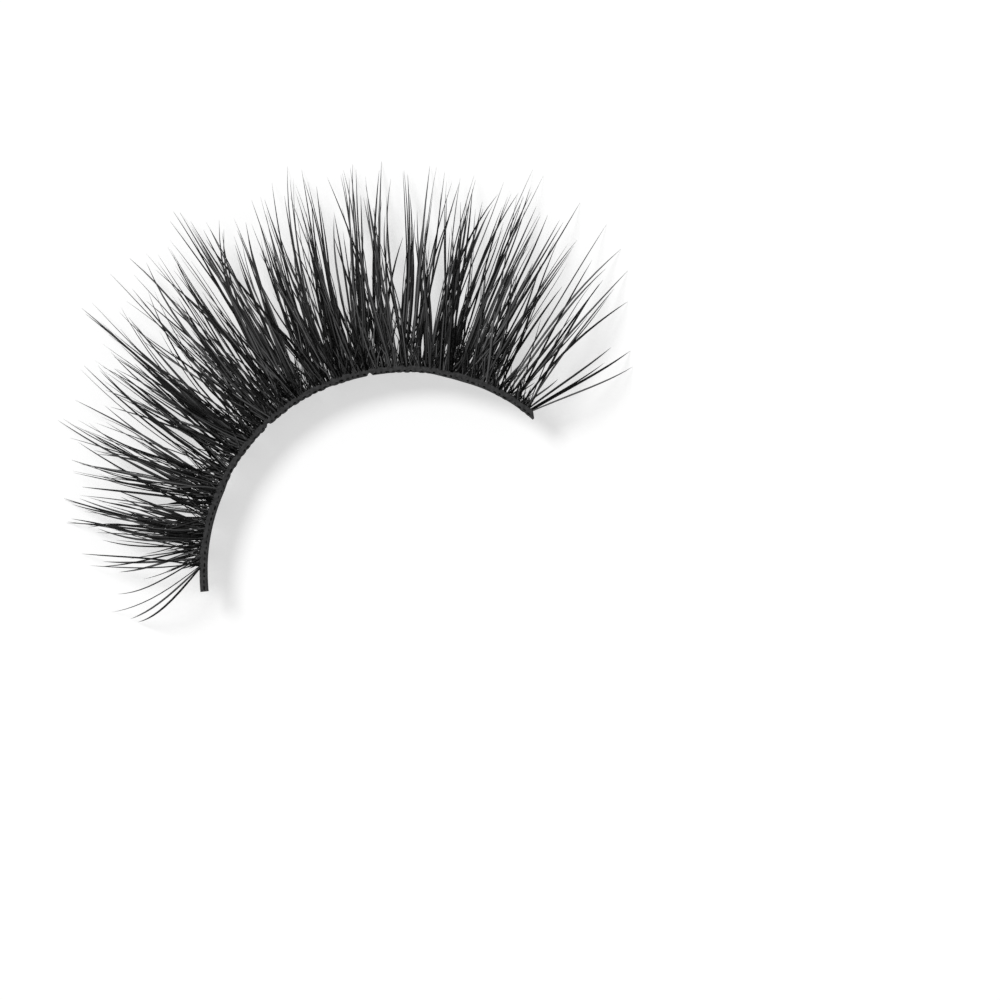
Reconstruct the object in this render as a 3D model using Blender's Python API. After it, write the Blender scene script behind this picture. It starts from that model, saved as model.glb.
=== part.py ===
"""False eyelash strip: a thread band bent to a lid's curve, a row of hair knots along its inner edge,
and two crossing layers of tapered hair locks, lying curl down on its lash tips.

Metres, +Z up. +X runs along the band from the inner corner to the outer corner, +Y is the way that the
lashes point. The origin is the centre of the strip's footprint, on the surface that it lies on.
"""
import math

import bmesh
import bpy
from mathutils import Vector

MM = 0.001

# Driving dimensions: the band
BAND_LENGTH = 33.0 * MM
BEND_RADIUS = 13.9 * MM
BAND_HEIGHT = 3.0 * MM
BAND_THICKNESS = 0.36 * MM
BAND_INNER_WIDTH = 0.08 * MM
BAND_OUTER_WIDTH = 0.23 * MM
TAIL_LENGTH = 1.6 * MM
TAIL_INNER_WIDTH = 0.30 * MM
TAIL_OUTER_WIDTH = 0.19 * MM
CORNER_LENGTH = 0.5 * MM
CORNER_SHOULDER = 0.8
CORNER_CUT_BACK = 0.5
EDGE_ROUND = 0.06 * MM

# Driving dimensions: the knots
KNOT_PITCH = 0.50 * MM
KNOT_WIDTH = 0.21 * MM
KNOT_DEPTH = 0.07 * MM
KNOT_THICKNESS = 0.26 * MM
KNOT_VALLEY_THICKNESS = 0.8
KNOT_FULLNESS = 0.6
NICK_WIDTH = 0.6 * MM

# Driving dimensions: the hair
LONGEST_REACH = 15.6 * MM
ROOT_STRIP_WIDTH = 1.1 * MM
ROOT_STRIP_THICKNESS = 0.17 * MM
LOCK_WIDTH = 0.82 * MM
LOCK_THICKNESS = 0.13 * MM
LOCK_STAGGER = 0.010 * MM
LOCK_STAGGER_LEVELS = 3
RISE_SLOPE = 0.24

# Clearances between pieces
SIDE_CLEARANCE = 0.03 * MM
LAYER_CLEARANCE = 0.05 * MM

# How finely the curved pieces are divided
BAND_STEP = 0.7 * MM
ROOT_STEP = 0.8 * MM
STEPS_PER_KNOT = 3
LOCK_STATION_STEP = 1.6 * MM
SHORTEST_STATION_SHARE = 0.3
TANGENT_STEP = 0.01
SMOOTH_BELOW = math.radians(40)

# Places along the band, in per cent of its length, where a knot is missing
NICK_PLACES = (38.9, 63.0)

# The farthest that lashes reach at each place along the band.
# Columns: place in per cent of the band's length, reach as a share of the longest reach.
REACH_OUTLINE = (
    (-4, 0.31),
    (-3, 0.35),
    (-1.6, 0.42),
    (5, 0.53),
    (13, 0.66),
    (21, 0.79),
    (28, 0.82),
    (33, 0.94),
    (46, 0.99),
    (58, 0.97),
    (70, 0.90),
    (84, 0.97),
    (92, 0.88),
    (97, 0.76),
    (100, 0.63),
    (104, 0.49),
    (106, 0.45),
)

# Locks that sweep towards the inner corner.
# Columns: place of the root, of the waist halfway out and of the tip, in per cent of the band's length;
# reach in per cent of the longest reach; width as a share of the lock width.
INNER_SWEPT_LOCKS = (
    (5.0, -1.3, -3.7, 31, 0.30),
    (5.2, -0.4, -3.0, 34, 0.35),
    (5.4, 0.0, -1.6, 42, 0.40),
    (7.2, 2.3, 0.9, 38, 0.30),
    (7.8, 4.4, 3.0, 26, 0.30),
    (6.8, 5.1, 5.0, 51, 0.55),
    (9.4, 8.5, 8.6, 46, 0.40),
    (11.6, 10.2, 9.6, 50, 0.75),
    (13.8, 12.3, 12.0, 55, 0.85),
    (16.6, 14.8, 13.9, 62, 0.75),
    (19.2, 17.1, 15.4, 60, 0.75),
    (21.2, 18.8, 17.8, 67, 0.80),
    (23.4, 21.4, 20.4, 71, 0.95),
    (26.2, 24.3, 23.0, 72, 0.85),
    (29.4, 27.6, 27.2, 66, 0.80),
    (31.4, 29.4, 28.6, 76, 1.00),
    (34.6, 33.1, 33.2, 86, 0.90),
    (38.6, 36.4, 35.2, 70, 0.85),
    (40.6, 39.2, 39.2, 90, 0.80),
    (42.8, 41.0, 40.3, 82, 0.90),
    (46.6, 45.0, 44.3, 88, 0.95),
    (49.2, 47.5, 47.1, 91, 0.90),
    (52.2, 49.7, 48.2, 64, 0.80),
    (54.4, 52.4, 51.0, 60, 0.75),
    (56.8, 55.2, 55.2, 88, 0.95),
    (59.6, 58.2, 57.9, 86, 0.90),
    (62.6, 60.6, 59.8, 58, 0.65),
    (66.8, 64.4, 62.2, 89, 0.75),
    (68.6, 66.9, 66.2, 88, 0.85),
    (71.4, 69.0, 66.8, 64, 0.75),
    (74.8, 72.9, 71.6, 62, 0.70),
    (77.8, 75.9, 74.9, 85, 0.65),
    (79.4, 77.6, 76.9, 86, 0.95),
    (84.6, 82.7, 81.1, 56, 0.70),
    (87.8, 86.2, 84.8, 62, 0.80),
    (90.6, 89.2, 88.5, 74, 0.85),
    (95.4, 93.0, 91.2, 39, 0.60),
    (97.2, 95.2, 94.8, 64, 0.55),
)

# Locks that sweep towards the outer corner, with the same columns.
OUTER_SWEPT_LOCKS = (
    (5.6, 6.2, 6.5, 56, 0.45),
    (8.0, 9.9, 10.4, 60, 0.85),
    (10.6, 12.2, 13.1, 65, 0.90),
    (13.6, 15.2, 15.8, 45, 0.60),
    (16.6, 18.5, 20.0, 70, 0.65),
    (18.8, 20.4, 21.5, 80, 0.90),
    (21.4, 23.7, 24.3, 76, 1.00),
    (24.2, 25.9, 27.7, 81, 0.55),
    (25.8, 27.2, 29.1, 76, 0.65),
    (27.8, 29.1, 29.5, 78, 0.70),
    (30.4, 32.2, 32.8, 94, 0.95),
    (32.2, 33.5, 34.1, 94, 0.80),
    (33.6, 35.0, 36.9, 64, 0.65),
    (35.2, 37.0, 37.5, 97, 0.90),
    (37.0, 38.2, 38.8, 76, 0.75),
    (38.8, 40.2, 40.0, 95, 0.85),
    (40.2, 41.4, 42.0, 92, 0.85),
    (41.6, 42.6, 43.8, 84, 0.70),
    (43.4, 44.6, 45.5, 97, 0.85),
    (45.0, 46.2, 46.5, 100, 1.00),
    (46.6, 47.3, 49.9, 87, 0.60),
    (47.4, 48.6, 50.2, 74, 0.60),
    (48.8, 50.5, 52.2, 84, 0.85),
    (51.2, 52.8, 53.8, 89, 0.95),
    (53.0, 54.5, 56.0, 92, 0.95),
    (54.8, 56.4, 58.5, 98, 0.95),
    (57.2, 58.8, 59.8, 95, 1.00),
    (58.8, 60.2, 61.0, 88, 0.75),
    (61.4, 63.1, 64.0, 91, 0.85),
    (63.0, 64.4, 65.0, 93, 0.85),
    (65.2, 66.6, 67.9, 92, 0.90),
    (67.6, 68.6, 69.0, 86, 0.50),
    (69.2, 70.6, 70.5, 89, 0.75),
    (71.4, 72.8, 73.1, 91, 0.80),
    (72.8, 74.0, 74.4, 90, 0.85),
    (74.8, 76.5, 77.7, 89, 0.95),
    (77.2, 78.8, 80.8, 88, 0.80),
    (79.0, 80.4, 82.4, 86, 0.85),
    (80.8, 82.7, 83.5, 98, 0.85),
    (82.6, 83.9, 84.7, 96, 0.80),
    (84.2, 85.5, 86.4, 82, 0.85),
    (86.4, 88.0, 89.0, 92, 0.95),
    (88.6, 89.8, 90.7, 72, 0.55),
    (90.0, 91.0, 91.7, 56, 0.50),
    (91.6, 92.2, 92.6, 89, 0.45),
    (92.2, 93.4, 95.3, 83, 0.40),
    (94.4, 95.7, 97.2, 77, 0.60),
    (96.0, 97.2, 99.4, 66, 0.45),
    (97.8, 100.2, 101.8, 45, 0.40),
    (98.2, 101.2, 102.6, 38, 0.50),
    (98.5, 101.9, 104.0, 50, 0.45),
    (98.7, 103.3, 105.8, 46, 0.30),
)

# How far out the close-set roots make one sheet.
# Columns: place in per cent of the band's length, share of the root strip's width.
ROOT_STRIP_OUTLINE = (
    (4.5, 0.25),
    (8.0, 0.45),
    (10.0, 1.00),
    (94.0, 1.00),
    (97.5, 0.35),
    (99.0, 0.20),
)

# How a lock's width and thickness fall off from root to tip.
# Columns: share of the way out, share of the root's width, share of the root's thickness.
LOCK_TAPER = (
    (0.00, 1.00, 1.00),
    (0.15, 0.85, 1.00),
    (0.35, 0.58, 0.94),
    (0.60, 0.34, 0.80),
    (0.85, 0.15, 0.50),
    (1.00, 0.00, 0.00),
)

# Materials: linear colour, roughness, metallic
BAND_FINISH = ((0.045, 0.045, 0.047), 0.75, 0.0)
KNOT_FINISH = ((0.015, 0.015, 0.016), 0.70, 0.0)
HAIR_FINISH = ((0.006, 0.006, 0.007), 0.45, 0.0)

SWEEP = BAND_LENGTH / BEND_RADIUS
START_ANGLE = math.pi / 2 + SWEEP / 2
ROOT_START = BAND_OUTER_WIDTH + SIDE_CLEARANCE


def clear_scene():
    """Removes every object, so the strip stands alone."""
    for thing in list(bpy.data.objects):
        bpy.data.objects.remove(thing, do_unlink=True)


def finish(name, look):
    """A Principled material from a colour, a roughness and a metallic value."""
    colour, roughness, metallic = look
    material = bpy.data.materials.new(name)
    material.use_nodes = True
    shader = material.node_tree.nodes["Principled BSDF"]
    shader.inputs["Base Color"].default_value = (*colour, 1.0)
    shader.inputs["Roughness"].default_value = roughness
    shader.inputs["Metallic"].default_value = metallic
    material.diffuse_color = (*colour, 1.0)
    return material


def read_table(rows, x, column):
    """The value of a column at x, on straight lines between the rows."""
    if x <= rows[0][0]:
        return rows[0][column]
    for low, high in zip(rows, rows[1:]):
        if x <= high[0]:
            share = (x - low[0]) / (high[0] - low[0])
            return low[column] + share * (high[column] - low[column])
    return rows[-1][column]


def on_arc(place, out, height):
    """The point at a place along the band, a distance out from its centre line and a height."""
    angle = START_ANGLE - SWEEP * place / 100
    radius = BEND_RADIUS + out
    return Vector((radius * math.cos(angle), radius * math.sin(angle), height))


def place_of(length):
    """The place, in per cent, at a length along the band from its inner end."""
    return 100 * length / BAND_LENGTH


def curl_height(place, out):
    """The height of the sheet that the lashes follow: a slight rise, then down to the surface."""
    reach = read_table(REACH_OUTLINE, place, 1) * LONGEST_REACH
    drop = (BAND_HEIGHT + RISE_SLOPE * reach) / reach**2
    return BAND_HEIGHT + RISE_SLOPE * out - drop * out**2


def loft(mesh, sections, tip=None):
    """Joins equal rings of points with quads, and closes both ends. A tip closes the far end in a point."""
    rings = []
    for section in sections:
        rings.append([mesh.verts.new(point) for point in section])
    sides = len(rings[0])
    for near, far in zip(rings, rings[1:]):
        for i in range(sides):
            j = (i + 1) % sides
            mesh.faces.new((near[i], near[j], far[j], far[i]))
    mesh.faces.new(list(reversed(rings[0])))
    if tip is None:
        mesh.faces.new(rings[-1])
        return
    apex = mesh.verts.new(tip)
    for i in range(sides):
        mesh.faces.new((rings[-1][i], rings[-1][(i + 1) % sides], apex))


def make_object(name, mesh, material):
    """Turns a bmesh with its faces pointing out into a named object, in triangles."""
    bmesh.ops.recalc_face_normals(mesh, faces=mesh.faces)
    bmesh.ops.triangulate(mesh, faces=mesh.faces)
    data = bpy.data.meshes.new(name)
    mesh.to_mesh(data)
    mesh.free()
    data.shade_smooth()
    data.set_sharp_from_angle(angle=SMOOTH_BELOW)
    data.materials.append(material)
    made = bpy.data.objects.new(name, data)
    bpy.context.scene.collection.objects.link(made)
    return made


def edge_rounded_section(place, inner, outer, thickness, middle):
    """A ring across a strip: a flat underside and top, with the four long edges cut back."""
    low = middle - thickness / 2
    high = middle + thickness / 2
    cut = EDGE_ROUND
    ring = (
        (-inner + cut, low),
        (-inner, low + cut),
        (-inner, high - cut),
        (-inner + cut, high),
        (outer - cut, high),
        (outer, high - cut),
        (outer, low + cut),
        (outer - cut, low),
    )
    return [on_arc(place, out, height) for out, height in ring]


def evenly(start, end, step):
    """Lengths from start to end in equal steps no longer than the step asked for."""
    count = max(1, math.ceil((end - start) / step))
    return [start + (end - start) * i / count for i in range(count + 1)]


def make_band(material):
    """The thread band: a full-width bare tail, a narrower run beside the knots, and a pointed corner."""
    mesh = bmesh.new()
    knots_start = TAIL_LENGTH
    knots_end = BAND_LENGTH - CORNER_LENGTH
    ease = KNOT_PITCH / 4
    point_width = TAIL_INNER_WIDTH * CORNER_CUT_BACK
    sections = []
    for length in evenly(0, knots_start - ease, BAND_STEP):
        sections.append((length, TAIL_INNER_WIDTH, TAIL_OUTER_WIDTH))
    for length in evenly(knots_start, knots_end, BAND_STEP):
        sections.append((length, BAND_INNER_WIDTH, BAND_OUTER_WIDTH))
    sections.append((knots_end + ease, TAIL_INNER_WIDTH, BAND_OUTER_WIDTH * CORNER_SHOULDER))
    sections.append((BAND_LENGTH, TAIL_INNER_WIDTH, -point_width))
    rings = [
        edge_rounded_section(place_of(length), inner, outer, BAND_THICKNESS, BAND_HEIGHT)
        for length, inner, outer in sections
    ]
    loft(mesh, rings)
    return make_object("band", mesh, material)


def knot_bulge(length):
    """How far a knot stands out of the row at a length along it, from 0 between knots to 1 at a crown."""
    for place in NICK_PLACES:
        if abs(length - BAND_LENGTH * place / 100) < NICK_WIDTH / 2:
            return 0.0
    phase = (length - TAIL_LENGTH) / KNOT_PITCH
    return abs(math.sin(math.pi * phase)) ** KNOT_FULLNESS


def make_knot_row(material):
    """The knots that tie the hair on, as one scalloped row along the band's inner edge."""
    mesh = bmesh.new()
    start = TAIL_LENGTH + SIDE_CLEARANCE
    end = BAND_LENGTH - CORNER_LENGTH - SIDE_CLEARANCE
    seat = BAND_INNER_WIDTH + SIDE_CLEARANCE
    rings = []
    for length in evenly(start, end, KNOT_PITCH / STEPS_PER_KNOT):
        bulge = knot_bulge(length)
        edge = seat + KNOT_WIDTH - KNOT_DEPTH * (1 - bulge)
        half = KNOT_THICKNESS / 2 * (KNOT_VALLEY_THICKNESS + (1 - KNOT_VALLEY_THICKNESS) * bulge)
        ring = (
            (-seat, -half),
            (-edge + KNOT_DEPTH, -half),
            (-edge, 0),
            (-edge + KNOT_DEPTH, half),
            (-seat, half),
        )
        rings.append([on_arc(place_of(length), out, BAND_HEIGHT + rise) for out, rise in ring])
    loft(mesh, rings)
    return make_object("knot_row", mesh, material)


def root_strip_width(place):
    """How wide the root strip is at a place along the band."""
    return ROOT_STRIP_WIDTH * read_table(ROOT_STRIP_OUTLINE, place, 1)


def add_root_strip(mesh, start_place, end_place, layer_offset):
    """The strip of bound hair roots that a layer's locks grow out of, just outside the band."""
    half = ROOT_STRIP_THICKNESS / 2
    near = ROOT_START
    rings = []
    start = BAND_LENGTH * start_place / 100
    end = BAND_LENGTH * end_place / 100
    for length in evenly(start, end, ROOT_STEP):
        place = place_of(length)
        far = near + root_strip_width(place)
        near_height = curl_height(place, near) + layer_offset
        far_height = curl_height(place, far) + layer_offset
        rings.append(
            [
                on_arc(place, near, near_height - half),
                on_arc(place, far, far_height - half),
                on_arc(place, far, far_height + half),
                on_arc(place, near, near_height + half),
            ]
        )
    loft(mesh, rings)


def lock_place(row, share):
    """The place along the band of a lock's centre line, a share of the way out."""
    root, waist, tip = row[0], row[1], row[2]
    bend = 2 * root - 4 * waist + 2 * tip
    lean = -3 * root + 4 * waist - tip
    return root + lean * share + bend * share**2


def lock_stations(start, reach):
    """Distances out at which a lock is drawn. All locks share the rings, so crossing ones stay parallel."""
    stations = [start]
    shortest = LOCK_STATION_STEP * SHORTEST_STATION_SHARE
    ring = math.floor(start / LOCK_STATION_STEP + 1) * LOCK_STATION_STEP
    while ring < reach - shortest:
        if ring > start + shortest:
            stations.append(ring)
        ring += LOCK_STATION_STEP
    return stations


def add_lock(mesh, row, height_offset):
    """One tapered lock with a diamond section, from inside the root strip to its point."""
    reach = row[3] / 100 * LONGEST_REACH
    start = ROOT_START + root_strip_width(row[0]) / 2
    rings = []
    for out in lock_stations(start, reach):
        share = (out - start) / (reach - start)
        place = lock_place(row, share)
        step = TANGENT_STEP * (reach - start)
        ahead = on_arc(lock_place(row, share + TANGENT_STEP), out + step, 0)
        behind = on_arc(lock_place(row, share - TANGENT_STEP), out - step, 0)
        along = (ahead - behind).normalized()
        side = Vector((along.y, -along.x, 0))
        half_width = LOCK_WIDTH * row[4] * read_table(LOCK_TAPER, share, 1) / 2
        half_thick = LOCK_THICKNESS * read_table(LOCK_TAPER, share, 2) / 2
        middle = on_arc(place, out, 0)
        ring = []
        for across, up in ((1, 0), (0, 1), (-1, 0), (0, -1)):
            point = middle + side * half_width * across
            point.z = sheet_height_at(point) + height_offset + half_thick * up
            ring.append(point)
        rings.append(ring)
    tip = on_arc(row[2], reach, curl_height(row[2], reach) + height_offset)
    loft(mesh, rings, tip)


def sheet_height_at(point):
    """The height of the lashes' sheet over a point of the plan."""
    angle = math.atan2(point.y, point.x)
    if angle < -math.pi / 2:
        angle += 2 * math.pi
    place = 100 * (START_ANGLE - angle) / SWEEP
    out = math.hypot(point.x, point.y) - BEND_RADIUS
    return curl_height(place, out)


def make_lock_layer(name, rows, layer_offset, material):
    """One layer of locks, joined to its root strip by a Boolean union."""
    strip = bmesh.new()
    places = [row[0] for row in rows]
    half_lock = place_of(LOCK_WIDTH) / 2
    add_root_strip(strip, min(places) - half_lock, max(places) + half_lock, layer_offset)
    layer = make_object(name, strip, material)
    bundle = bpy.data.collections.new(name + "_bundle")
    bpy.context.scene.collection.children.link(bundle)
    pieces = [layer]
    for i, row in enumerate(rows):
        mesh = bmesh.new()
        level = i % LOCK_STAGGER_LEVELS - LOCK_STAGGER_LEVELS // 2
        add_lock(mesh, row, layer_offset + LOCK_STAGGER * level)
        lock = make_object(f"{name}_{i}", mesh, material)
        bpy.context.scene.collection.objects.unlink(lock)
        bundle.objects.link(lock)
        lock.hide_render = True
        lock.display_type = "WIRE"
        pieces.append(lock)
    union = layer.modifiers.new("join_locks", "BOOLEAN")
    union.operation = "UNION"
    union.operand_type = "COLLECTION"
    union.collection = bundle
    union.solver = "EXACT"
    return pieces


def rest_on_surface(pieces):
    """Hangs the pieces on one empty, which puts the footprint's centre over the origin, on the surface."""
    bpy.context.view_layer.update()
    corners = [corner for piece in pieces for corner in (v.co for v in piece.data.vertices)]
    lows = [min(corner[axis] for corner in corners) for axis in range(3)]
    highs = [max(corner[axis] for corner in corners) for axis in range(3)]
    holder = bpy.data.objects.new("strip", None)
    holder.empty_display_size = BAND_HEIGHT
    holder.location = (-(lows[0] + highs[0]) / 2, -(lows[1] + highs[1]) / 2, -lows[2])
    bpy.context.scene.collection.objects.link(holder)
    for piece in pieces:
        piece.parent = holder


def main():
    clear_scene()
    band_finish = finish("band_thread", BAND_FINISH)
    knot_finish = finish("knots", KNOT_FINISH)
    hair_finish = finish("hair", HAIR_FINISH)
    layer_offset = (max(LOCK_THICKNESS + 2 * LOCK_STAGGER, ROOT_STRIP_THICKNESS) + LAYER_CLEARANCE) / 2
    pieces = [make_band(band_finish), make_knot_row(knot_finish)]
    pieces += make_lock_layer("inner_swept_locks", INNER_SWEPT_LOCKS, layer_offset, hair_finish)
    pieces += make_lock_layer("outer_swept_locks", OUTER_SWEPT_LOCKS, -layer_offset, hair_finish)
    rest_on_surface(pieces)


main()
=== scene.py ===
"""False eyelash strip: strands of hair in two crossing layers on a bent thread band, lying curl down.

Laid out as an add-on and run as a script. Lengths are in metres, +Z up. A place along the band is given in
per cent of its length, from the inner corner to the outer corner, and a reach in per cent of the longest
reach of the lashes.
"""
import math

import bmesh
import bpy
import numpy as np
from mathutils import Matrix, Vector


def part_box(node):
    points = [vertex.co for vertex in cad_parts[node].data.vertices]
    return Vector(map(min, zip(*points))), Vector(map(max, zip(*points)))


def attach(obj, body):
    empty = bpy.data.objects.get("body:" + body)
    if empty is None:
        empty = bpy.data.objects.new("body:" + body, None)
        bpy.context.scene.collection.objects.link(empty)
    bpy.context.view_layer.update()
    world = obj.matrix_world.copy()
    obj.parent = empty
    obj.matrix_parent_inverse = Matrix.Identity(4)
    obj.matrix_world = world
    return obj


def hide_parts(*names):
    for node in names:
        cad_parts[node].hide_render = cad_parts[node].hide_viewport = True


bl_info = {
    "name": "False Eyelash Strip",
    "version": (1, 0, 0),
    "blender": (4, 5, 0),
    "location": "View3D > Sidebar > Lashes",
    "description": "Builds the strands, band and knots of a false eyelash strip around its solids",
    "category": "Object",
}

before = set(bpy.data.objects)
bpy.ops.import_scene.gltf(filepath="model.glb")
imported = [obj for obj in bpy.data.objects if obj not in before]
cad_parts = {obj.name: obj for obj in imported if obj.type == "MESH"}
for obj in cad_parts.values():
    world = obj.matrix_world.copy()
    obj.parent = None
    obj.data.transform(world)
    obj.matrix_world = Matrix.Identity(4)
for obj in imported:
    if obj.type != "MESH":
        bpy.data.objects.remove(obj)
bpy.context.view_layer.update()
BODY = "root"
MM = 0.001

# The strip's own sizes, the same as its solids have
BAND_LENGTH = 33.0 * MM
BEND_RADIUS = 13.9 * MM
BAND_THICKNESS = 0.36 * MM
BAND_INNER_WIDTH = 0.08 * MM
BAND_OUTER_WIDTH = 0.23 * MM
TAIL_LENGTH = 1.6 * MM
TAIL_INNER_WIDTH = 0.30 * MM
TAIL_OUTER_WIDTH = 0.19 * MM
CORNER_LENGTH = 0.5 * MM
KNOT_PITCH = 0.50 * MM
KNOT_THICKNESS = 0.26 * MM
NICK_WIDTH = 0.6 * MM
NICK_PLACES = (38.9, 63.0)
LONGEST_REACH = 15.6 * MM
LAYER_OFFSET = 0.12 * MM
RISE_SLOPE = 0.24
SWEEP = BAND_LENGTH / BEND_RADIUS
START_ANGLE = math.pi / 2 + SWEEP / 2

# The camera: where it looks, how wide its view is there, and how the strip is turned in it
VIEW_X = 5.965 * MM
VIEW_Y = -15.97 * MM
VIEW_HEIGHT = 2.5 * MM
VIEW_ROLL = math.radians(27.8)
FRAME_WIDTH = 68.7 * MM

# The floor and the key light's direction and width
FLOOR_GAP = 0.01 * MM
FLOOR_HALF_WIDTH = 2.0
SUN_DIRECTION = (0.203, -0.532, -0.822)
SUN_WIDTH = math.radians(18)

BAND_LOW, BAND_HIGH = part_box("band")
BAND_MIDDLE = (BAND_LOW.z + BAND_HIGH.z) / 2
ARC_X = BAND_LOW.x - (BEND_RADIUS + TAIL_OUTER_WIDTH) * math.cos(START_ANGLE)
ARC_Y = BAND_HIGH.y - (BEND_RADIUS + BAND_OUTER_WIDTH)

# How far lashes reach at each place along the band.
# Columns: place, reach as a share of the longest reach.
REACH_OUTLINE = (
    (-4, 0.31), (-3, 0.35), (-1.6, 0.42), (5, 0.53), (13, 0.66), (21, 0.79), (28, 0.82), (33, 0.94),
    (46, 0.99), (58, 0.97), (70, 0.90), (84, 0.97), (92, 0.88), (97, 0.76), (100, 0.63), (104, 0.49),
    (106, 0.45),
)

# Bunches of hair that lean towards the inner corner.
# Columns: place of the root, of the waist halfway out and of the tip, and reach.
INNER_SWEPT_BUNCHES = (
    (5.0, -1.3, -3.7, 31), (5.2, -0.4, -3.0, 34), (5.4, 0.0, -1.6, 42), (7.2, 2.3, 0.9, 38),
    (7.8, 4.4, 3.0, 26), (6.0, 4.9, 5.0, 50), (7.0, 5.9, 5.6, 44), (9.4, 8.5, 8.6, 45),
    (11.0, 10.0, 9.5, 48), (12.6, 11.1, 10.2, 62), (13.4, 12.2, 12.0, 55), (16.4, 14.9, 13.9, 58),
    (18.4, 16.4, 15.0, 58), (19.8, 17.6, 16.6, 64), (21.2, 18.8, 17.8, 66), (22.6, 21.2, 20.2, 70),
    (23.6, 22.3, 22.5, 70), (26.0, 24.2, 23.1, 62), (29.2, 27.6, 27.2, 62), (30.8, 28.6, 28.1, 56),
    (31.6, 30.2, 29.3, 72), (33.4, 31.4, 31.4, 78), (34.6, 33.3, 33.2, 84), (38.6, 36.4, 35.2, 68),
    (39.2, 37.4, 36.9, 58), (40.4, 39.6, 39.2, 88), (42.6, 41.0, 40.2, 78), (44.6, 43.4, 43.8, 88),
    (46.8, 45.0, 44.3, 82), (48.4, 47.3, 47.1, 90), (52.2, 49.7, 48.2, 62), (53.6, 51.8, 50.9, 56),
    (54.8, 53.2, 52.9, 78), (56.4, 55.0, 55.2, 86), (59.8, 58.6, 57.9, 84), (62.4, 60.6, 59.9, 56),
    (64.6, 62.4, 61.6, 62), (67.0, 64.4, 62.2, 88), (67.6, 65.5, 64.6, 62), (68.4, 66.9, 66.2, 86),
    (71.2, 68.8, 66.7, 64), (70.8, 68.7, 68.9, 84), (74.6, 73.0, 71.6, 60), (75.6, 73.8, 73.1, 66),
    (78.0, 75.9, 74.9, 84), (78.4, 76.9, 76.3, 86), (80.0, 78.2, 77.8, 82), (84.4, 82.7, 81.1, 54),
    (88.0, 86.4, 84.6, 56), (88.8, 86.8, 85.7, 52), (90.6, 89.4, 88.7, 70), (95.6, 93.0, 91.2, 38),
    (97.6, 95.0, 94.7, 62), (97.8, 95.9, 95.5, 64), (97.4, 97.0, 97.3, 66),
)

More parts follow.
